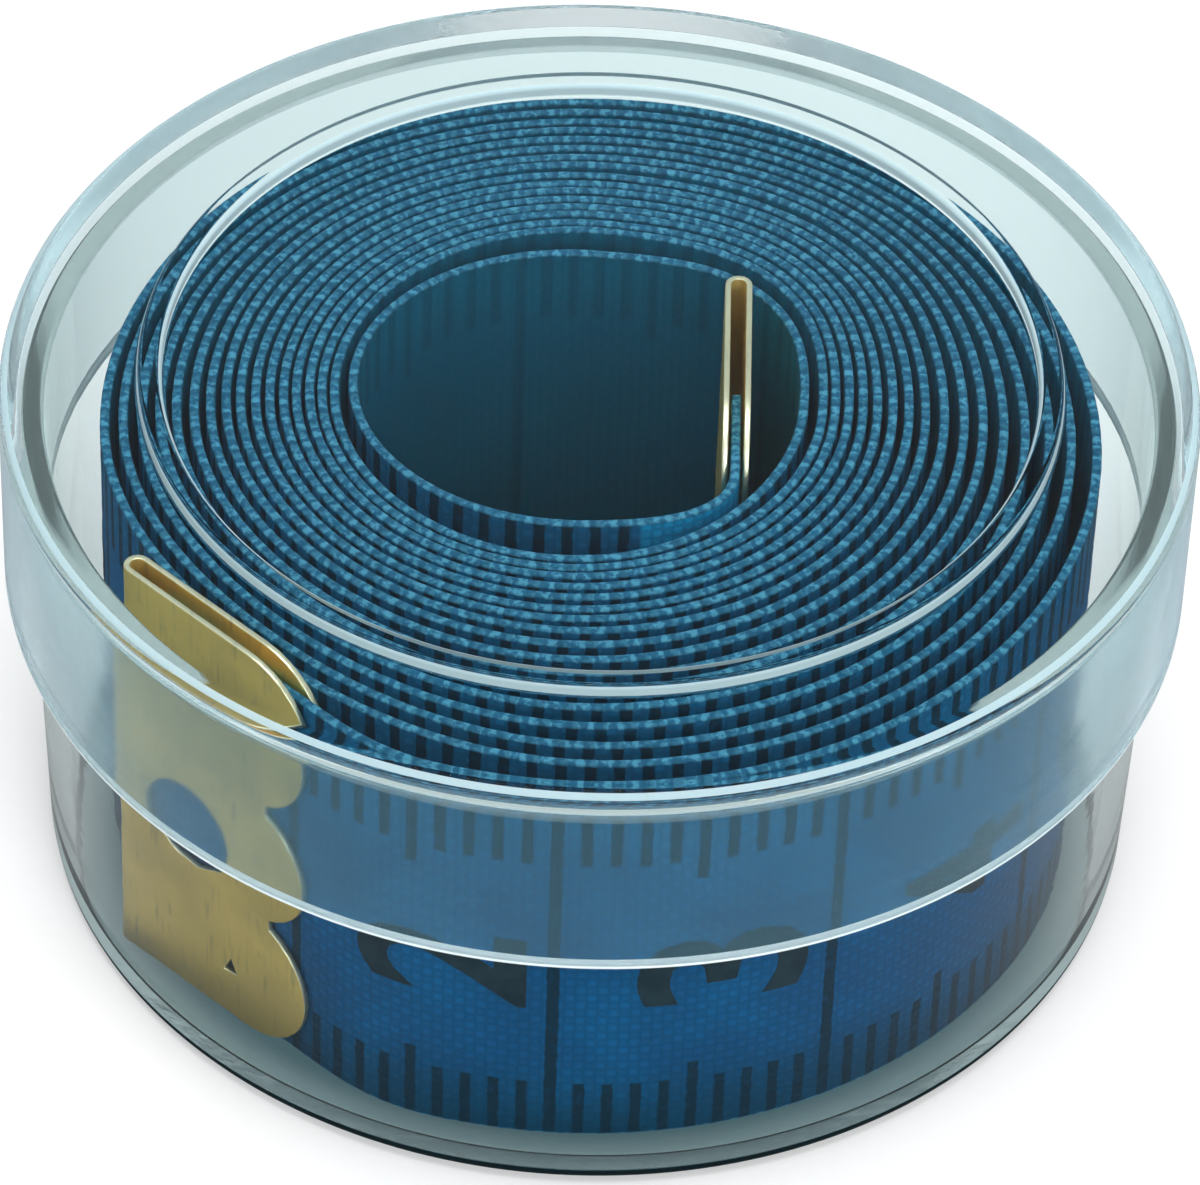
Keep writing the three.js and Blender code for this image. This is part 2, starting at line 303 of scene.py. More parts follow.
def make_printed_scale():
    """Millimetre ticks along both edges and a line across each centimetre, as an ink mask."""
    tree, wires, given, made = shader_group(
        "printed_scale",
        [("Along", "NodeSocketFloat", 0.0), ("Across", "NodeSocketFloat", 0.0),
         ("Tape Width", "NodeSocketFloat", TAPE_WIDTH), ("Shift", "NodeSocketFloat", -0.2),
         ("Short Tick", "NodeSocketFloat", 2.85), ("Long Tick", "NodeSocketFloat", 3.7),
         ("Tick Stroke", "NodeSocketFloat", 0.4), ("Line Stroke", "NodeSocketFloat", 0.44),
         ("Ink Edge", "NodeSocketFloat", 0.03)],
        [("Ink", "NodeSocketFloat")])
    along, across = given.outputs["Along"], given.outputs["Across"]
    edge = given.outputs["Ink Edge"]

    def from_nearest(pitch):
        part = wires.math("DIVIDE", along, pitch)
        part = wires.math("FRACT", wires.math("ADD", part, 0.5))
        part = wires.math("ABSOLUTE", wires.math("SUBTRACT", part, 0.5))
        return wires.math("MULTIPLY", part, pitch)

    def within(distance, reach):
        start = wires.math("SUBTRACT", reach, edge)
        end = wires.math("ADD", reach, edge)
        return wires.ramp(distance, start, end, 1.0, 0.0)

    below = wires.math("ADD", across, given.outputs["Shift"])
    above = wires.math("SUBTRACT", given.outputs["Tape Width"], below)
    from_edge = wires.math("MINIMUM", below, above)
    fifth = within(from_nearest(5.0), 0.5)
    reach = wires.math("ADD", given.outputs["Short Tick"], wires.math(
        "MULTIPLY", fifth, wires.math("SUBTRACT", given.outputs["Long Tick"],
                                      given.outputs["Short Tick"])))
    tick = within(from_nearest(1.0), wires.math(
        "MULTIPLY", given.outputs["Tick Stroke"], 0.5))
    tick = wires.math("MULTIPLY", tick, within(from_edge, reach))
    line = within(from_nearest(10.0), wires.math("MULTIPLY", given.outputs["Line Stroke"], 0.5))
    wires.feed(made, "Ink", wires.math("MAXIMUM", tick, line))
    return tree


FINE_WEAR = make_fine_wear()
PLAIN_WEAVE = make_plain_weave()
PRINTED_SCALE = make_printed_scale()


# Finishes

def make_plastic(name, clean, dull, bend, clearness, polish, glow=(0.30, 0.36, 0.36, 1),
                 tape_light_sheen=0.0, roll_shadow_tint=None):
    """Clear plastic: its two tints, how much it bends light, how clear it is, its polish, the tone
    of the light that is guided along inside its walls, the weight of a sheen on its skin, tinted
    blue to paint the tape's light that the hazy skin scatters, and the darker tint of a painted
    shadow ring where the roll stands on it."""
    material, wires, surface = new_material(name)
    place = wires.add("ShaderNodeTexCoord").outputs["Object"]
    wear = placed_group(wires, FINE_WEAR, {"Place": place, "Scale": 700.0, "Spread": 0.6})
    tint = wires.blend(wear.outputs["Mask"], clean, dull)
    # A darker tint in a ring under the roll's outer turns: a painted shadow of the roll.
    if roll_shadow_tint:
        spot = wires.add("ShaderNodeSeparateXYZ", {"Vector": place})
        radius = wires.math("POWER", wires.math(
            "ADD", wires.math("POWER", spot.outputs[0], 2.0),
            wires.math("POWER", spot.outputs[1], 2.0)), 0.5)
        inner = wires.ramp(radius, *(reach * MM for reach in ROLL_SHADE_INNER))
        outer = wires.ramp(radius, *(reach * MM for reach in ROLL_SHADE_OUTER), 1.0, 0.0)
        tint = wires.blend(wires.math("MULTIPLY", inner, outer), tint, roll_shadow_tint)
    wires.feed(surface, "Base Color", tint)
    wires.feed(surface, "Roughness", wires.ramp(
        wear.outputs["Mask"], 0.0, 1.0, polish, polish + 0.07))
    bump = wires.add("ShaderNodeBump", {
        "Height": wear.outputs["Height"], "Strength": 0.02, "Distance": 0.0002})
    wires.feed(surface, "Normal", bump.outputs[0])
    guided = wires.ramp(wires.add("ShaderNodeLightPath").outputs["Glossy Depth"], 1.0, 3.0)
    wires.feed(surface, "Emission Color", wires.blend(guided, (0, 0, 0, 1), glow))
    surface.inputs["Emission Strength"].default_value = 0.5
    surface.inputs["Specular Tint"].default_value = (0.12, 0.12, 0.12, 1)
    # A sheen on the skin, tinted blue: painted reflection of the tape's light, which the hazy skin
    # scatters.
    surface.inputs["Sheen Weight"].default_value = tape_light_sheen
    surface.inputs["Sheen Roughness"].default_value = 0.8
    surface.inputs["Sheen Tint"].default_value = (0.16, 0.62, 0.90, 1)
    surface.inputs["Transmission Weight"].default_value = clearness
    surface.inputs["IOR"].default_value = bend
    return material


def make_printed_cloth():
    material, wires, surface = new_material("printed_blue_cloth")
    lengths = wires.add("ShaderNodeSeparateXYZ", {
        "Vector": wires.add("ShaderNodeUVMap", uv_map="tape_lengths").outputs[0]})
    along, across = lengths.outputs[0], lengths.outputs[1]
    place = wires.add("ShaderNodeTexCoord").outputs["Object"]
    ragged = wires.add("ShaderNodeTexNoise", {"Vector": place, "Scale": 3200.0, "Detail": 2.0})
    sway = wires.math("MULTIPLY", wires.math("SUBTRACT", ragged.outputs[0], 0.5), 0.16)
    scale = placed_group(wires, PRINTED_SCALE, {
        "Along": wires.math("ADD", along, sway), "Across": wires.math("ADD", across, sway)})
    weave = placed_group(wires, PLAIN_WEAVE, {"Along": along, "Across": across, "Threads": 2.6})
    print_end = wires.add("ShaderNodeAttribute", attribute_name="print_end")
    printed = wires.math("LESS_THAN", along, print_end.outputs["Fac"])
    ink = wires.math("MULTIPLY", scale.outputs["Ink"], printed)

    tone = wires.add("ShaderNodeTexNoise", {"Vector": place, "Scale": 260.0, "Detail": 4.0})
    blue = wires.blend(wires.ramp(tone.outputs[0], 0.35, 0.7),
                       (0.0, 0.080, 0.215, 1), (0.0, 0.112, 0.285, 1))
    above_foot = wires.math("SUBTRACT", TAPE_WIDTH, across)
    # Darker teal towards the tape's bottom edge: painted shade, where less light reaches the lower
    # cloth.
    low_shade = wires.ramp(above_foot, 0.3, 4.4, 0.6, 0.0)
    blue = wires.blend(low_shade, blue, (0.0, 0.042, 0.065, 1))
    # Lighter blue towards the tape's top edge: painted light, where more light falls from above.
    lit_top = wires.ramp(above_foot, TAPE_WIDTH - 4.5, TAPE_WIDTH, 0.0, 0.35)
    blue = wires.blend(lit_top, blue, (0.006, 0.17, 0.31, 1))
    # The unprinted inner tail is a much lighter blue: painted light on the inner end, which lies
    # in the roll's shaded bore.
    blue = wires.blend(printed, (0.0, 0.30, 0.60, 1), blue)
    # Between the threads the blue is darker: painted shade in the weave's hollows.
    blue = wires.blend(wires.ramp(weave.outputs["Height"], 0.1, 0.8),
                       wires.blend(0.35, blue, (0.0, 0.03, 0.08, 1)), blue)
    rubbed = wires.add("ShaderNodeTexNoise", {"Vector": place, "Scale": 2600.0, "Detail": 3.0})
    cover = wires.math("MULTIPLY", ink, wires.ramp(rubbed.outputs[0], 0.25, 0.5, 0.7, 1.0))
    back = wires.ramp(
        wires.add("ShaderNodeAttribute", attribute_name="cloth_side").outputs["Fac"], -0.2, 0.2)
    cover = wires.math("MULTIPLY", cover, wires.ramp(back, 0.0, 1.0, 1.0, 0.3))
    blue = wires.blend(back, blue, wires.blend(0.5, blue, (0.0, 0.13, 0.18, 1)))
    face = wires.blend(cover, blue, (0.002, 0.026, 0.052, 1))

    rim = wires.math("MINIMUM", across, wires.math("SUBTRACT", TAPE_WIDTH, across))
    on_rim = wires.ramp(rim, 0.05, 0.14, 1.0, 0.0)
    fibres = wires.add("ShaderNodeTexNoise", {"Vector": place, "Scale": 5200.0, "Detail": 3.0})
    ribs = wires.math("SINE", wires.math("MULTIPLY", wires.math("ADD", along, sway), 4 * math.pi))
    ribs = wires.math("ADD", wires.math("MULTIPLY", ribs, 0.1), fibres.outputs[0])
    cut = wires.blend(wires.ramp(ribs, 0.40, 0.64),
                      (0.010, 0.105, 0.20, 1), (0.075, 0.29, 0.43, 1))
    cut = wires.blend(wires.math("MULTIPLY", ink, 0.6), cut, (0.008, 0.085, 0.16, 1))
    wires.feed(surface, "Base Color", wires.blend(on_rim, face, cut))
    wires.feed(surface, "Roughness", wires.ramp(tone.outputs[0], 0.3, 0.7, 0.46, 0.62))
    height = wires.math("ADD", wires.math("MULTIPLY", weave.outputs["Height"], 0.5),
                        wires.math("MULTIPLY", fibres.outputs[0], wires.math(
                            "ADD", 0.15, wires.math("MULTIPLY", on_rim, 0.9))))
    bump = wires.add("ShaderNodeBump", {
        "Height": height, "Strength": 0.35, "Distance": 0.00005})
    wires.feed(surface, "Normal", bump.outputs[0])
    surface.inputs["Specular IOR Level"].default_value = 0.06
    surface.inputs["Sheen Weight"].default_value = 0.05
    surface.inputs["Sheen Roughness"].default_value = 0.4
    surface.inputs["Sheen Tint"].default_value = (0.1, 0.5, 0.8, 1)
    return material


def make_brass(name, bright, dull, stain, roughness):
    material, wires, surface = new_material(name)
    place = wires.add("ShaderNodeTexCoord").outputs["Object"]
    grain_place = wires.add("ShaderNodeMapping", {"Vector": place, "Scale": (1.0, 1.0, 14.0)})
    grain = wires.add("ShaderNodeTexNoise", {
        "Vector": grain_place.outputs[0], "Scale": 420.0, "Detail": 4.0})
    patches = wires.add("ShaderNodeTexNoise", {"Vector": place, "Scale": 210.0, "Detail": 5.0})
    wear = placed_group(wires, FINE_WEAR, {"Place": place, "Scale": 1100.0, "Spread": 0.5})
    tone = wires.blend(wires.ramp(patches.outputs[0], 0.35, 0.68), bright, dull)
    tone = wires.blend(wires.math("MULTIPLY", wear.outputs["Mask"], 0.6), tone, stain)
    wires.feed(surface, "Base Color", tone)
    wires.feed(surface, "Roughness", wires.ramp(
        patches.outputs[0], 0.3, 0.7, roughness, roughness + 0.16))
    height = wires.math("ADD", wires.math("MULTIPLY", grain.outputs[0], 0.6),
                        wires.math("MULTIPLY", wear.outputs["Height"], 0.5))
    bump = wires.add("ShaderNodeBump", {"Height": height, "Strength": 0.3, "Distance": 0.00004})
    wires.feed(surface, "Normal", bump.outputs[0])
    surface.inputs["Metallic"].default_value = 1.0
    return material


def make_ink():
    material, wires, surface = new_material("printing_ink")
    place = wires.add("ShaderNodeTexCoord").outputs["Object"]
    patches = wires.add("ShaderNodeTexNoise", {"Vector": place, "Scale": 1500.0, "Detail": 4.0})
    tone = wires.blend(wires.ramp(patches.outputs[0], 0.35, 0.65),
                       (0.005, 0.022, 0.036, 1), (0.014, 0.036, 0.050, 1))
    wires.feed(surface, "Base Color", tone)
    wires.feed(surface, "Roughness", wires.ramp(patches.outputs[0], 0.3, 0.7, 0.5, 0.7))
    bump = wires.add("ShaderNodeBump", {
        "Height": patches.outputs[0], "Strength": 0.3, "Distance": 0.00003})
    wires.feed(surface, "Normal", bump.outputs[0])
    surface.inputs["Specular IOR Level"].default_value = 0.12
    return material


LID_PLASTIC = make_plastic(
    "lid_plastic", (0.86, 0.92, 0.92, 1), (0.82, 0.88, 0.89, 1),
    bend=1.25, clearness=1.0, polish=0.02)
# The skirt is rougher and carries a blue sheen, which paints the tape's light scattered in its
# skin.
SKIRT_PLASTIC = make_plastic(
    "lid_skirt_plastic", (0.88, 0.94, 0.94, 1), (0.83, 0.91, 0.92, 1),
    bend=1.25, clearness=0.99, polish=0.1, tape_light_sheen=0.15)
CUP_PLASTIC = make_plastic(
    "cup_plastic", (0.90, 0.955, 0.955, 1), (0.86, 0.92, 0.925, 1),
    bend=1.23, clearness=1.0, polish=0.02)
# The cup rim's top band gets a darker, less clear tint: painted shade, the dark ring the rim shows
# through the lid.
RIM_SHADE_PLASTIC = make_plastic(
    "cup_rim_shaded_plastic", (0.54, 0.62, 0.62, 1), (0.47, 0.55, 0.56, 1),
    bend=1.3, clearness=0.8, polish=0.15)
# The cup's underside and the foot's outer round get a dark teal tint and a dark guided glow:
# painted shade under the roll and at the foot, partly the thicker plastic there.
FOOT_SHADE_PLASTIC = make_plastic(
    "cup_foot_shaded_plastic", (0.30, 0.44, 0.47, 1), (0.25, 0.38, 0.41, 1),
    bend=1.23, clearness=1.0, polish=0.05,
    glow=(0.06, 0.11, 0.12, 1), roll_shadow_tint=(0.04, 0.13, 0.17, 1))
# A near-black, half-clear band low on the foot's outer round, with a near-black glow: a painted
# contact shadow line along the cup's foot.
FOOT_SHADOW_LINE_PLASTIC = make_plastic(
    "cup_foot_painted_shadow_line", (0.008, 0.022, 0.028, 1), (0.006, 0.018, 0.022, 1),
    bend=1.06, clearness=0.6, polish=0.4, glow=(0, 0.01, 0.01, 1))
# A pale, mostly unclear band on the lid's top edge round and on the ridge's flanks: painted
# highlight lines where the edges catch the light.
LID_HIGHLIGHT_PLASTIC = make_plastic(
    "lid_edge_painted_highlight", (0.42, 0.56, 0.60, 1), (0.36, 0.50, 0.54, 1),
    bend=1.3, clearness=0.25, polish=0.35)
# A near white, mostly unclear band at the skirt's bottom edge: its frosted rim, made pale to paint
# the bright line of light that the wall carries down to it.
SKIRT_HIGHLIGHT_PLASTIC = make_plastic(
    "skirt_edge_painted_highlight", (0.84, 0.93, 0.95, 1), (0.76, 0.86, 0.89, 1),
    bend=1.3, clearness=0.15, polish=0.35)
PRINTED_CLOTH = make_printed_cloth()
CLIP_BRASS = make_brass("satin_clip_brass", (0.90, 0.66, 0.22, 1), (0.72, 0.55, 0.22, 1),
                        (0.46, 0.38, 0.20, 1), 0.48)
CUT_BRASS = make_brass("cut_brass_edge", (0.86, 0.80, 0.56, 1), (0.74, 0.70, 0.50, 1),
                       (0.55, 0.52, 0.40, 1), 0.3)
INK = make_ink()


# The clear case, turned about the Z axis

def rounded_profile(corners, steps=7, support=0.04):
    """A path of radius and height with each corner rounded to its own radius, and a close
    neighbour before and after each round so that flat faces stay flat where they are shaded."""
    path = []
    for index, (radius, height, bend) in enumerate(corners):
        here = Vector((radius, height))
        if bend == 0:
            path.append(here)
            continue
        before = (Vector(corners[index - 1][:2]) - here).normalized()
        after = (Vector(corners[index + 1][:2]) - here).normalized()
        half = before.angle(after) / 2
        reach = bend / math.tan(half)
        centre = here + (before + after).normalized() * (bend / math.sin(half))
        start, end = here + before * reach, here + after * reach
        path.append(start + before * support)
        swing = (start - centre).angle_signed(end - centre)
        for step in range(steps + 1):
            path.append(centre + Matrix.Rotation(-swing * step / steps, 2) @ (start - centre))
        path.append(end + after * support)
    return path


def finish_faces(piece, material, wanted):
    """Gives a further finish to the faces whose radius, height and outward tilt are wanted."""
    piece.data.materials.append(material)
    index = len(piece.data.materials) - 1
    for polygon in piece.data.polygons:
        centre, normal = polygon.center / MM, polygon.normal
        radius = math.hypot(centre.x, centre.y)
        outward = (centre.x * normal.x + centre.y * normal.y) / radius
        if wanted(radius, centre.z, outward):
            polygon.material_index = index


def turned_piece(name, corners, material, segments=216):
    path = rounded_profile(corners)
    shell = bmesh.new()
    rings = []
    for point in path:
        if abs(point.x) < 1e-9:
            rings.append([shell.verts.new((0, 0, point.y * MM))])
            continue
        rings.append([shell.verts.new((
            point.x * MM * math.cos(2 * math.pi * i / segments),
            point.x * MM * math.sin(2 * math.pi * i / segments),
            point.y * MM)) for i in range(segments)])
    for low, high in zip(rings, rings[1:]):
        for i in range(segments):
            j = (i + 1) % segments
            if len(low) == 1:
                shell.faces.new((low[0], high[i], high[j]))
            elif len(high) == 1:
                shell.faces.new((low[i], low[j], high[0]))
            else:
                shell.faces.new((low[i], low[j], high[j], high[i]))
    bmesh.ops.recalc_face_normals(shell, faces=shell.faces)
    return piece_from_bmesh(name, shell, material)


def make_cup():
    foot_bore = CUP_FOOT_RADIUS - CUP_WALL
    middle = CUP_FOOT_RADIUS * 0.5
    cup = turned_piece("case_cup_clear", [
        (0, 0, 0),
        (middle, 0, 0),
        (CUP_FOOT_RADIUS, 0, CUP_FOOT_ROUND),
        (CUP_RIM_RADIUS, CUP_HEIGHT, CUP_RIM_ROUND),
        (CUP_RIM_RADIUS - CUP_WALL, CUP_HEIGHT, CUP_RIM_ROUND),
        (foot_bore, CUP_FLOOR, CUP_CORNER_ROUND),
        (middle, CUP_FLOOR, 0),
        (0, CUP_FLOOR, 0),
    ], CUP_PLASTIC)
    # Painted shade on the rim's top band.
    finish_faces(cup, RIM_SHADE_PLASTIC,
                 lambda radius, height, outward: height > CUP_HEIGHT - RIM_SHADE_BAND)
    # Painted shade on the cup's underside and the foot's outer round, partly the thicker plastic
    # there.
    finish_faces(cup, FOOT_SHADE_PLASTIC, lambda radius, height, outward: (
        height < 0.01 or outward > 0.1 and height < FOOT_SHADE_BAND))
    # Painted contact shadow line low on the foot's outer round.
    finish_faces(cup, FOOT_SHADOW_LINE_PLASTIC, lambda radius, height, outward: (
        outward > 0.1 and height < FOOT_SHADOW_LINE_BAND))
    return cup


def make_lid():
    skirt_bore = LID_RADIUS - LID_SKIRT_WALL
    inside, outside = RIDGE_RADIUS - RIDGE_WIDTH / 2, RIDGE_RADIUS + RIDGE_WIDTH / 2
    lid = turned_piece("case_lid_clear", [
        (0, LID_UNDERSIDE, 0),
        (RIDGE_RADIUS * 0.5, LID_UNDERSIDE, 0),
        (skirt_bore, LID_UNDERSIDE, SKIRT_BORE_ROUND),
        (skirt_bore, LID_SKIRT_BOTTOM + SKIRT_END, 0),
        (skirt_bore, LID_SKIRT_BOTTOM, SKIRT_BORE_ROUND),
        (LID_RADIUS, LID_SKIRT_BOTTOM, SKIRT_EDGE_ROUND),
        (LID_RADIUS, LID_SKIRT_BOTTOM + SKIRT_END, 0),
        (LID_RADIUS, LID_TOP, LID_EDGE_ROUND),
        (outside, LID_TOP, RIDGE_FOOT_ROUND),
        (outside, LID_TOP + RIDGE_HEIGHT, RIDGE_ROUND),
        (inside, LID_TOP + RIDGE_HEIGHT, RIDGE_ROUND),
        (inside, LID_TOP, RIDGE_FOOT_ROUND),
        (RIDGE_RADIUS * 0.5, LID_TOP, 0),
        (0, LID_TOP, 0),
    ], LID_PLASTIC)
    finish_faces(lid, SKIRT_PLASTIC, lambda radius, height, outward: (
        radius > SKIRT_FROM_RADIUS and height < LID_UNDERSIDE))
    # Painted highlight lines on the lid's top edge round and the ridge's flanks.
    finish_faces(lid, LID_HIGHLIGHT_PLASTIC, lambda radius, height, outward: (
        radius > HIGHLIGHT_FROM_RADIUS and height > LID_TOP - 0.5 and 0.4 < outward < 0.8
        or height > LID_TOP + 0.05 and (outward < -0.35 or outward > 0.8)))
    # Painted highlight line along the skirt's bottom edge.
    finish_faces(lid, SKIRT_HIGHLIGHT_PLASTIC, lambda radius, height, outward: (
        radius > SKIRT_FROM_RADIUS and height < LID_SKIRT_BOTTOM + SKIRT_HIGHLIGHT_BAND))
    return lid


# The clips, folded from a flat pattern with lobed ends

def clip_pattern():
    """The flat pattern's outline, hole and prick, along the sheet from its fold and up."""
    fold_radius = CLIP_THICKNESS / 2 - CLIP_SHEET / 2
    plate_start = CLIP_THICKNESS / 2
    quarter = math.pi * fold_radius / 2
    lobe = CLIP_HEIGHT / CLIP_LOBES / 2
    lobe_centre = CLIP_LENGTH - lobe - plate_start + quarter
    notch = math.acos(1 - CLIP_NOTCH_DEPTH / lobe)
    mouth = []
    for index in range(CLIP_LOBES):
        start = -math.pi / 2 if index == 0 else -notch
        end = math.pi / 2 if index == CLIP_LOBES - 1 else notch
        for step in range(LOBE_STEPS + 1):
            angle = start + (end - start) * step / LOBE_STEPS
            mouth.append((lobe_centre + lobe * math.cos(angle),
                          lobe * (2 * index + 1) + lobe * math.sin(angle)))
    edge = [lobe_centre - (lobe_centre - quarter) * i / PLATE_STEPS
            for i in range(1, PLATE_STEPS + 1)]
    edge += [quarter * i / FOLD_STEPS for i in range(FOLD_STEPS - 1, -FOLD_STEPS, -1)]
    edge += [-x for x in reversed(edge[:PLATE_STEPS])]
    outline = mouth + [(x, CLIP_HEIGHT) for x in edge]
    outline += [(-x, z) for x, z in reversed(mouth)] + [(-x, 0.0) for x in edge]
    hole_along, hole_up, hole_radius = CLIP_HOLE
    hole = []
    for step in range(HOLE_STEPS):
        angle = 2 * math.pi * step / HOLE_STEPS
        torn = smoothstep(-0.35, -0.8, math.sin(angle))
        jag = CLIP_HOLE_TEAR * noise.noise(Vector((step * 0.9, 3.1, 0.0))) * torn
        radius = hole_radius + jag
        hole.append((-(hole_along - plate_start + quarter) + radius * math.cos(angle),
                     hole_up + radius * math.sin(angle)))
    prick_along, prick_up, prick_reach = CLIP_PRICK
    prick = [(-(prick_along - plate_start + quarter) + prick_reach * math.cos(a),
              prick_up + prick_reach * 1.15 * math.sin(a))
             for a in (math.radians(100), math.radians(205), math.radians(318))]
    return outline, [hole, prick], fold_radius, quarter, plate_start


def folded(along, up, fold_radius, quarter, plate_start):
    """A point of the flat pattern after folding: X from the fold, Y from the front face, Z up."""
    if abs(along) <= quarter:
        angle = along / fold_radius
        return Vector((plate_start - fold_radius * math.cos(angle),
                       plate_start + fold_radius * math.sin(angle), up))
    reach = abs(along) - quarter + plate_start
    side = -1 if along < 0 else 1
    return Vector((reach, plate_start + side * fold_radius, up))


def make_clip(name, fold, heading):
    outline, openings, fold_radius, quarter, plate_start = clip_pattern()
    points, edges = [], []
    for loop in [outline, *openings]:
        first = len(points)
        points.extend(Vector(p) for p in loop)
        edges.extend((first + i, first + (i + 1) % len(loop)) for i in range(len(loop)))
    for i in range(-FOLD_STEPS, FOLD_STEPS + 1):
        for j in range(1, FOLD_ROWS):
            points.append(Vector((quarter * i / FOLD_STEPS, CLIP_HEIGHT * j / FOLD_ROWS)))
    reach = CLIP_LENGTH - CLIP_HEIGHT / CLIP_LOBES
    for side in (-1, 1):
        for i in range(1, PLATE_STEPS):
            for j in range(1, PLATE_ROWS):
                along = side * (quarter + reach * i / PLATE_STEPS)
                up = CLIP_HEIGHT * j / PLATE_ROWS
                clear = all((Vector(p) - Vector((along, up))).length > CLEAR_OF_OUTLINE
                            for loop in [outline, *openings] for p in loop)
                if clear:
                    points.append(Vector((along, up)))
    found, _, faces, _, _, _ = delaunay_2d_cdt(points, edges, [], 0, 1e-6)

    def inside(loop, x, y):
        crossed = False
        for (x1, y1), (x2, y2) in zip(loop, loop[1:] + loop[:1]):
            if (y1 > y) != (y2 > y) and x < (x2 - x1) * (y - y1) / (y2 - y1) + x1:
                crossed = not crossed
        return crossed

    shell = bmesh.new()
    corners = [shell.verts.new(folded(p.x, p.y, fold_radius, quarter, plate_start) * MM)
               for p in found]
    for face in faces:
        x, y = (sum(found[i][axis] for i in face) / len(face) for axis in (0, 1))
        if inside(outline, x, y) and not any(inside(loop, x, y) for loop in openings):
            shell.faces.new([corners[i] for i in face])
    bmesh.ops.delete(shell, geom=[v for v in shell.verts if not v.link_faces], context="VERTS")
    bmesh.ops.recalc_face_normals(shell, faces=shell.faces)
    clip = piece_from_bmesh(name, shell, CLIP_BRASS)
    clip.data.materials.append(CUT_BRASS)
    place = Matrix.Translation((fold.x * MM, fold.y * MM, CLIP_BOTTOM * MM))
    clip.data.transform(place @ Matrix.Rotation(heading, 4, "Z"))
    sheet = clip.modifiers.new("sheet", "SOLIDIFY")
    sheet.thickness = CLIP_SHEET * MM
    sheet.offset = 0
    sheet.use_even_offset = True
    sheet.material_offset_rim = 1
    softened = clip.modifiers.new("softened_edges", "BEVEL")
    softened.width = CLIP_SOFT_EDGE * MM
    softened.segments = 2
    softened.limit_method = "ANGLE"
    softened.angle_limit = math.radians(50)
    return plain_copy(clip, name)


# Where the roll's turns lie

OUTER_DIRECTION = Vector((math.cos(OUTER_CLIP_HEADING), math.sin(OUTER_CLIP_HEADING)))
OUTER_INWARD = Vector((-OUTER_DIRECTION.y, OUTER_DIRECTION.x))
OUTER_CLIP_FOLD = -OUTER_INWARD * OUTER_CLIP_FACE - OUTER_DIRECTION * OUTER_CLIP_SLIDE
INNER_DIRECTION = Vector((math.cos(INNER_CLIP_HEADING), math.sin(INNER_CLIP_HEADING)))
INNER_INWARD = Vector((-INNER_DIRECTION.y, INNER_DIRECTION.x))


def in_clip(fold, direction, inward, along):
    """A place in the middle of a clip's thickness, at a length from its fold."""
    return fold + direction * along + inward * (CLIP_THICKNESS / 2)


def window(angle, about, half):
    """1 in one direction, fading to 0 at half a window to either side."""
    away = abs(math.atan2(math.sin(angle - about), math.cos(angle - about)))
    return math.cos(min(away / half, 1.0) * math.pi / 2) ** 2


def oval_reach(angle, oval):
    """How far an oval's edge lies from the roll's pole, in one direction."""
    centre, half_x, half_y = oval
    aim = Vector((math.cos(angle), math.sin(angle)))
    start = ROLL_POLE - centre
    a = (aim.x / half_x) ** 2 + (aim.y / half_y) ** 2
    b = aim.x * start.x / half_x ** 2 + aim.y * start.y / half_y ** 2
    c = (start.x / half_x) ** 2 + (start.y / half_y) ** 2 - 1
    return (-b + math.sqrt(b * b - a * c)) / a


FOLD_ANGLE = math.atan2(*(INNER_CLIP_FOLD + INNER_INWARD * CLIP_THICKNESS - ROLL_POLE).yx)
PRESS_ANGLE = math.atan2(*(-OUTER_INWARD * OUTER_CLIP_FACE - ROLL_POLE).yx)
OUTER_MOUTH = in_clip(OUTER_CLIP_FOLD, OUTER_DIRECTION, OUTER_INWARD, CLIP_LENGTH)
MOUTH_ANGLE = math.atan2(*(OUTER_MOUTH - ROLL_POLE).yx)
WHOLE_TURNS = math.floor(TURNS)
ALL_TURNS = WHOLE_TURNS + ((ROLL_START - MOUTH_ANGLE) % (2 * math.pi)) / (2 * math.pi)


def turn_reach(turn, press_depth):
    """How far the tape's middle lies from the roll's pole, some turns from its inner start."""
    angle = ROLL_START - turn * 2 * math.pi
    by_fold = window(angle, FOLD_ANGLE, FOLD_WINDOW)
    first = oval_reach(angle, INNERMOST) + FOLD_BULGE[0] * by_fold
    packed = oval_reach(angle, PACKED) + FOLD_BULGE[1] * by_fold
    if turn < 1:
        return first + (packed - first) * smoothstep(FIRST_TURN_EASE, 1.0, turn)
    pressed = 1 - smoothstep(*(ALL_TURNS - before for before in PRESS_FADE), turn)
    outer = oval_reach(angle, ROLL_OUTSIDE)
    outer -= press_depth * pressed * window(angle, PRESS_ANGLE, PRESS_WINDOW)
    share = (turn - 1) / (ALL_TURNS - 1)
    room = outer - packed
    even = min(PACKED_PITCH * (ALL_TURNS - 1) / room, 1.0)
    reach = packed + room * (even * share + (1 - even) * share ** LOOSENING)
    pitch = room / (ALL_TURNS - 1) * (even + (1 - even) * LOOSENING * share ** (LOOSENING - 1))
    slack = max(pitch - TAPE_THICKNESS, 0.0)
    sway = ROW_SWAY * slack * noise.noise(Vector((turn * 3.1, 0.7, 0.0)))
    return reach + sway * smoothstep(0, 0.06, share) * smoothstep(1, 0.93, share)


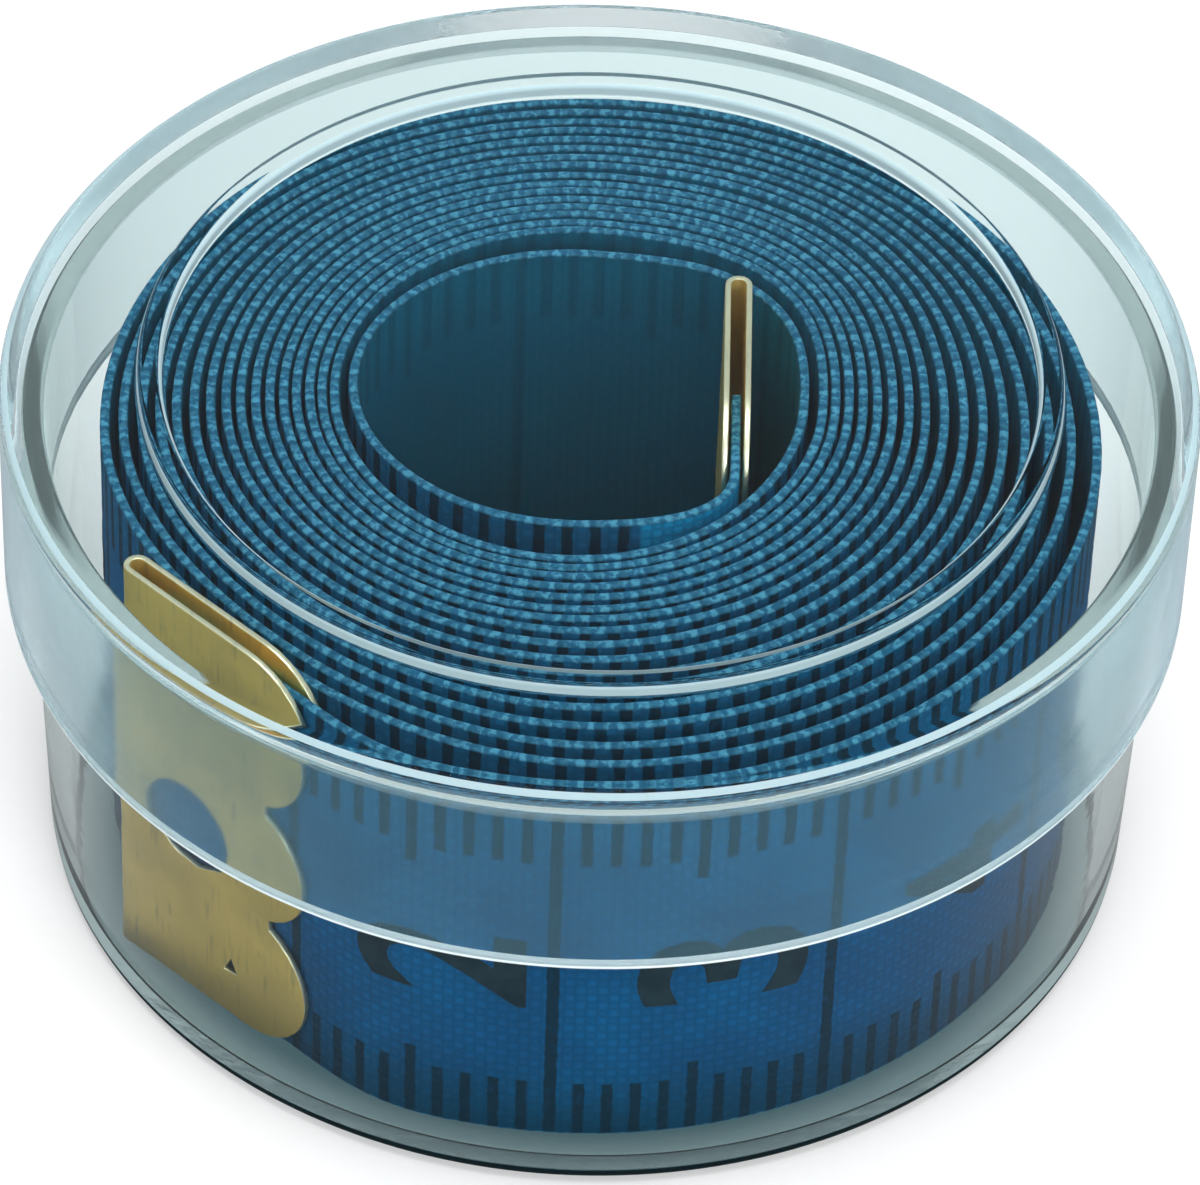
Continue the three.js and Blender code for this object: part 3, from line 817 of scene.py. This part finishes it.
def press_needed():
    """How deep the outer turns are pressed in, so that the outer clip lies clear on them."""
    turn = WHOLE_TURNS - 1 + ((ROLL_START - PRESS_ANGLE) % (2 * math.pi)) / (2 * math.pi)
    clear = OUTER_CLIP_FACE - CLIP_THICKNESS - CLIP_CLEARANCE - TAPE_THICKNESS / 2
    aim = Vector((math.cos(PRESS_ANGLE), math.sin(PRESS_ANGLE)))
    wanted = (clear + ROLL_POLE.dot(OUTER_INWARD)) / -aim.dot(OUTER_INWARD)
    low, high = 0.0, 6.0
    for _ in range(40):
        depth = (low + high) / 2
        if turn_reach(turn, depth) > wanted:
            low = depth
        else:
            high = depth
    return high


PRESS_DEPTH = press_needed()


def turn_point(turn):
    angle = ROLL_START - turn * 2 * math.pi
    return ROLL_POLE + Vector((math.cos(angle), math.sin(angle))) * turn_reach(turn, PRESS_DEPTH)


def bend(start, start_aim, end, end_aim, steps):
    """Points of a smooth bend between two headings, its own ends left out."""
    reach = (end - start).length * 0.4
    first, second = start + start_aim.normalized() * reach, end - end_aim.normalized() * reach
    points = []
    for step in range(1, steps):
        s = step / steps
        points.append(start * (1 - s) ** 3 + first * (3 * s * (1 - s) ** 2)
                      + second * (3 * s * s * (1 - s)) + end * s ** 3)
    return points


def tape_route():
    """The middle of the tape in plan, from its outer end to its inner end."""
    clip_inset = CLIP_THICKNESS / 2 + TAPE_END_GAP
    inner_end = in_clip(INNER_CLIP_FOLD, INNER_DIRECTION, INNER_INWARD,
                        CLIP_THICKNESS / 2 + INNER_END_GAP)
    inner_mouth = in_clip(INNER_CLIP_FOLD, INNER_DIRECTION, INNER_INWARD, CLIP_LENGTH)
    outer_end = in_clip(OUTER_CLIP_FOLD, OUTER_DIRECTION, OUTER_INWARD, clip_inset)
    last_turn = ALL_TURNS - 0.05
    steps = int(last_turn * STEPS_PER_TURN)
    turns = [turn_point(last_turn * i / steps) for i in range(steps + 1)]
    route = [inner_end + (inner_mouth - inner_end) * i / 8 for i in range(9)]
    route += bend(inner_mouth, INNER_DIRECTION, turns[0], turns[1] - turns[0], 14)
    route += turns
    route += bend(turns[-1], turns[-1] - turns[-2], OUTER_MOUTH, -OUTER_DIRECTION, 8)
    route += [OUTER_MOUTH + (outer_end - OUTER_MOUTH) * i / 8 for i in range(9)]
    return route[::-1]


ROUTE = tape_route()
TRAVEL = [0.0]
for here, after in zip(ROUTE, ROUTE[1:]):
    TRAVEL.append(TRAVEL[-1] + (after - here).length)
TAPE_LENGTH = TRAVEL[-1]
START_ALONG = CLIP_THICKNESS / 2 + TAPE_END_GAP + PRINT_LEAD


def height_sway(along):
    """The roll's slightly uneven height along the tape."""
    return HEIGHT_SWAY * noise.noise(Vector((along * 0.021, 5.2, 0.0)))


# The tape, swept along its route by a node tree

def make_strip_tree():
    tree = bpy.data.node_groups.new("wound_strip", "GeometryNodeTree")
    face = tree.interface
    face.new_socket("Route", in_out="INPUT", socket_type="NodeSocketGeometry")
    for label in ("Tape Width", "Tape Thickness", "Edge Round", "Start Along"):
        face.new_socket(label, in_out="INPUT", socket_type="NodeSocketFloat")
    face.new_socket("Cloth", in_out="INPUT", socket_type="NodeSocketMaterial")
    face.new_socket("Strip", in_out="OUTPUT", socket_type="NodeSocketGeometry")
    wires = Wiring(tree)
    given, made = wires.add("NodeGroupInput"), wires.add("NodeGroupOutput")

    upright = wires.add("GeometryNodeSetCurveNormal", {"Curve": given.outputs["Route"]},
                        mode="Z_UP")
    travelled = wires.add("GeometryNodeSplineParameter").outputs["Length"]
    along = wires.add("GeometryNodeCaptureAttribute", {"Geometry": upright.outputs[0]})
    along.capture_items.new("FLOAT", "Along")
    wires.feed(along, "Along", travelled)

    section = wires.add("GeometryNodeCurvePrimitiveQuadrilateral", {
        "Width": given.outputs["Tape Thickness"], "Height": given.outputs["Tape Width"]})
    rounded = wires.add("GeometryNodeFilletCurve", mode="POLY")
    wires.feed(rounded, "Curve", section.outputs[0])
    wires.feed(rounded, "Radius", given.outputs["Edge Round"])
    rounded.inputs["Count"].default_value = 3
    across = wires.add("GeometryNodeCaptureAttribute", {"Geometry": rounded.outputs[0]})
    across.capture_items.new("VECTOR", "Section")
    wires.feed(across, "Section", wires.add("GeometryNodeInputPosition").outputs[0])

    swept = wires.add("GeometryNodeCurveToMesh", {
        "Curve": along.outputs["Geometry"], "Profile Curve": across.outputs["Geometry"],
        "Fill Caps": True})
    parted = wires.add("ShaderNodeSeparateXYZ", {"Vector": across.outputs["Section"]})
    half_width = wires.math("MULTIPLY", given.outputs["Tape Width"], 0.5)
    lengths = wires.add("ShaderNodeCombineXYZ", {
        "X": wires.math("MULTIPLY", wires.math(
            "ADD", along.outputs["Along"], given.outputs["Start Along"]), 1000.0),
        "Y": wires.math("MULTIPLY", wires.math("ADD", parted.outputs["Y"], half_width), 1000.0)})
    stored = wires.add("GeometryNodeStoreNamedAttribute", {
        "Geometry": swept.outputs[0], "Name": "tape_lengths"},
        data_type="FLOAT2", domain="CORNER")
    wires.feed(stored, "Value", lengths.outputs[0])
    sided = wires.add("GeometryNodeStoreNamedAttribute", {
        "Geometry": stored.outputs[0], "Name": "cloth_side"}, data_type="FLOAT", domain="CORNER")
    wires.feed(sided, "Value", wires.math(
        "MULTIPLY", wires.math("SIGN", parted.outputs["X"]), -1.0))
    smooth = wires.add("GeometryNodeSetShadeSmooth", {"Geometry": sided.outputs[0]})
    painted = wires.add("GeometryNodeSetMaterial", {
        "Geometry": smooth.outputs[0], "Material": given.outputs["Cloth"]})
    whole = wires.add("GeometryNodeRealizeInstances", {"Geometry": painted.outputs[0]})
    wires.feed(made, "Strip", whole.outputs[0])
    return tree


def make_tape():
    line = bpy.data.curves.new("tape_route", "CURVE")
    line.dimensions = "3D"
    spline = line.splines.new("POLY")
    spline.points.add(len(ROUTE) - 1)
    middle = TAPE_BOTTOM + TAPE_WIDTH / 2
    for point, place, travelled in zip(spline.points, ROUTE, TRAVEL):
        point.co = (place.x * MM, place.y * MM, (middle + height_sway(travelled)) * MM, 1)
    working = bpy.data.objects.new("tape_route", line)
    bpy.context.scene.collection.objects.link(working)
    tree = make_strip_tree()
    sweep = working.modifiers.new("sweep", "NODES")
    sweep.node_group = tree
    sockets = {item.name: item.identifier for item in tree.interface.items_tree
               if item.item_type == "SOCKET" and item.in_out == "INPUT"}
    sweep[sockets["Tape Width"]] = TAPE_WIDTH * MM
    sweep[sockets["Tape Thickness"]] = TAPE_THICKNESS * MM
    sweep[sockets["Edge Round"]] = TAPE_EDGE_ROUND * MM
    sweep[sockets["Start Along"]] = START_ALONG * MM
    sweep[sockets["Cloth"]] = PRINTED_CLOTH
    tape = plain_copy(working, "tape_cloth")
    shell = bmesh.new()
    shell.from_mesh(tape.data)
    bmesh.ops.remove_doubles(shell, verts=shell.verts, dist=1e-8)
    bmesh.ops.recalc_face_normals(shell, faces=shell.faces)
    shell.to_mesh(tape.data)
    shell.free()
    ends = tape.data.attributes.new("print_end", "FLOAT", "POINT")
    printed_to = START_ALONG + TAPE_LENGTH - UNPRINTED_TAIL
    ends.data.foreach_set("value", [printed_to] * len(tape.data.vertices))
    return tape


# The numbers on the outer turn

def on_route(along):
    """The place and heading of the tape's middle at a length from its outer clip's fold."""
    travelled = min(max(along - START_ALONG, 0.0), TAPE_LENGTH - 1e-6)
    low, high = 0, len(TRAVEL) - 1
    while high - low > 1:
        middle = (low + high) // 2
        if TRAVEL[middle] <= travelled:
            low = middle
        else:
            high = middle
    share = (travelled - TRAVEL[low]) / (TRAVEL[high] - TRAVEL[low])
    place = ROUTE[low].lerp(ROUTE[high], share)
    before = ROUTE[max(low - 1, 0)]
    after = ROUTE[min(high + 1, len(ROUTE) - 1)]
    return place, (after - before).normalized(), travelled


def number_shape(text):
    """A number as a thin flat solid: X across, Y up its digits, its middle at X zero."""
    letters = bpy.data.curves.new("number_" + text, "FONT")
    letters.body = text
    letters.size = 1.0
    letters.offset = 0.022
    letters.extrude = 0.01
    letters.resolution_u = 3
    working = bpy.data.objects.new("number_" + text, letters)
    bpy.context.scene.collection.objects.link(working)
    made = plain_copy(working, "number_shape")
    shell = bmesh.new()
    shell.from_mesh(made.data)
    bpy.data.objects.remove(made)
    bmesh.ops.remove_doubles(shell, verts=shell.verts, dist=1e-5)
    xs = [v.co.x for v in shell.verts]
    ys = [v.co.y for v in shell.verts]
    digits = len(text)
    wide = DIGIT_WIDTH * (digits if digits < 3 else 2.6)
    for vert in shell.verts:
        x = (vert.co.x - min(xs)) / (max(xs) - min(xs)) - 0.5
        y = (vert.co.y - min(ys)) / (max(ys) - min(ys))
        narrow = 0.55 if text == "1" else 1.0
        vert.co = Vector((x * wide * narrow, y * DIGIT_LENGTH, vert.co.z))
    for step in range(1, 10):
        cut = Vector((0, DIGIT_LENGTH * step / 10, 0))
        bmesh.ops.bisect_plane(shell, geom=[*shell.verts, *shell.edges, *shell.faces],
                               plane_co=cut, plane_no=(0, 1, 0))
    return shell


def print_numbers(target, numbers):
    """Lays each number on the cloth's outer face, before the line of its centimetre."""
    for number in numbers:
        shape = number_shape(str(number))
        for vert in shape.verts:
            place, heading, travelled = on_route(number * 10 - DIGIT_GAP - vert.co.y)
            outward = Vector((heading.y, -heading.x))
            lift = TAPE_THICKNESS / 2 + INK_LIFT + (INK_THICKNESS if vert.co.z > 0 else 0)
            spot = place + outward * lift
            height = DIGIT_CENTRE + height_sway(travelled) + vert.co.x
            vert.co = Vector((spot.x, spot.y, height)) * MM
        bmesh.ops.recalc_face_normals(shape, faces=shape.faces)
        part = bpy.data.meshes.new("number_part")
        shape.to_mesh(part)
        shape.free()
        target.from_mesh(part)
        bpy.data.meshes.remove(part)


def make_numbers():
    shell = bmesh.new()
    print_numbers(shell, NUMBERS)
    return piece_from_bmesh("printed_numbers", shell, INK, smooth=False)


# The pieces and what each stands for

cup = make_cup()
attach(cup, "base")
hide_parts("case_cup")

lid = make_lid()
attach(lid, "lid")
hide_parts("case_lid")

outer_clip = make_clip("outer_end_clip", OUTER_CLIP_FOLD, OUTER_CLIP_HEADING)
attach(outer_clip, "roll")
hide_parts("clip_outer_end")

inner_clip = make_clip("inner_end_clip", INNER_CLIP_FOLD, INNER_CLIP_HEADING)
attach(inner_clip, "roll")
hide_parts("clip_inner_end")

tape = make_tape()
numbers = make_numbers()
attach(tape, "roll")
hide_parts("tape")
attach(numbers, "roll")
print("tape length", round(TAPE_LENGTH, 1), "mm,", round(ALL_TURNS, 2), "turns, press depth",
      round(PRESS_DEPTH, 2))


# The floor, light and camera

def seen_share(wires, mirrored_share):
    """1 for what the camera sees, also through plastic, less for what it sees mirrored, and 0 for
    light that falls on things."""
    rays = wires.add("ShaderNodeLightPath")
    seen = wires.math("MAXIMUM", rays.outputs["Is Camera Ray"], rays.outputs["Is Glossy Ray"])
    seen = wires.math("MAXIMUM", seen, rays.outputs["Is Transmission Ray"])
    lighting = wires.math("MINIMUM", rays.outputs["Diffuse Depth"], 1.0)
    mirrored = wires.math("MINIMUM", rays.outputs["Glossy Depth"], 1.0)
    seen = wires.math("MULTIPLY", seen, wires.math("SUBTRACT", 1.0, lighting))
    return mirrored, wires.math("MULTIPLY", seen, wires.ramp(
        mirrored, 0.0, 1.0, 1.0, mirrored_share))


def make_floor():
    material, wires, surface = new_material("pale_floor")
    place = wires.add("ShaderNodeTexCoord").outputs["Object"]
    grain = wires.add("ShaderNodeTexNoise", {"Vector": place, "Scale": 40.0, "Detail": 2.0})
    tone = wires.blend(grain.outputs[0], (0.59, 0.59, 0.59, 1), (0.62, 0.62, 0.62, 1))
    surface.inputs["Roughness"].default_value = 0.9
    surface.inputs["Specular IOR Level"].default_value = 0.1
    mirrored, seen = seen_share(wires, 0.3)
    wires.feed(surface, "Base Color", wires.blend(mirrored, tone, (0.26, 0.27, 0.27, 1)))
    surface.inputs["Emission Color"].default_value = (1, 1, 1, 1)
    wires.feed(surface, "Emission Strength", wires.math("MULTIPLY", seen, 0.28))
    shell = bmesh.new()
    bmesh.ops.create_circle(shell, cap_ends=True, segments=96, radius=3.0)
    floor = piece_from_bmesh("floor", shell, material, smooth=False)
    floor.location.z = -0.00002


def soft_lamp(name, place, aim, size, power, mirrored):
    """A round soft lamp; mirrored says if the gloss of the plastic shows its face."""
    light = bpy.data.lights.new(name, "AREA")
    light.shape = "DISK"
    light.size = size
    light.energy = power
    lamp = bpy.data.objects.new(name, light)
    lamp.location = place
    lamp.rotation_mode = "QUATERNION"
    lamp.rotation_quaternion = (Vector(aim) - Vector(place)).to_track_quat("-Z", "Y")
    lamp.visible_glossy = mirrored
    bpy.context.scene.collection.objects.link(lamp)


def make_world():
    world = bpy.data.worlds.new("pale_room")
    world.use_nodes = True
    background = world.node_tree.nodes["Background"]
    background.inputs["Color"].default_value = (0.95, 0.98, 1.0, 1)
    wires = Wiring(world.node_tree)
    _, seen = seen_share(wires, 0.0)
    wires.feed(background, "Strength", wires.ramp(seen, 0.0, 1.0, 0.75, 1.0))
    bpy.context.scene.world = world


def make_camera():
    back = Vector((0, -math.cos(CAMERA_ELEVATION), math.sin(CAMERA_ELEVATION)))
    place = back * CAMERA_DISTANCE
    up = Vector((1, 0, 0)).cross(-back)
    target = Vector((CAMERA_AIM_RIGHT, 0, 0)) + up * CAMERA_AIM_UP
    forward = (target - place).normalized()
    level = forward.cross(Vector((0, 0, 1))).normalized()
    upright = level.cross(forward)
    right = level * math.cos(CAMERA_ROLL) + upright * math.sin(CAMERA_ROLL)
    top = upright * math.cos(CAMERA_ROLL) - level * math.sin(CAMERA_ROLL)
    data = bpy.data.cameras.new("camera")
    data.lens = CAMERA_LENS
    data.sensor_width = 36.0
    data.clip_start, data.clip_end = 0.01, 20.0
    camera = bpy.data.objects.new("camera", data)
    bpy.context.scene.collection.objects.link(camera)
    turned = Matrix((right, top, -forward)).transposed()
    camera.matrix_world = Matrix.Translation(place) @ turned.to_4x4()
    bpy.context.scene.camera = camera


make_floor()
make_world()
soft_lamp("overhead_lamp", place=(0.0, -0.05, 0.75), aim=(0, 0, 0.01), size=0.5, power=4.2,
          mirrored=True)
soft_lamp("front_lamp", place=(0.16, -0.58, 0.38), aim=(0, 0, 0.01), size=0.4, power=2.6,
          mirrored=False)
make_camera()
bpy.context.scene.view_settings.view_transform = "Standard"
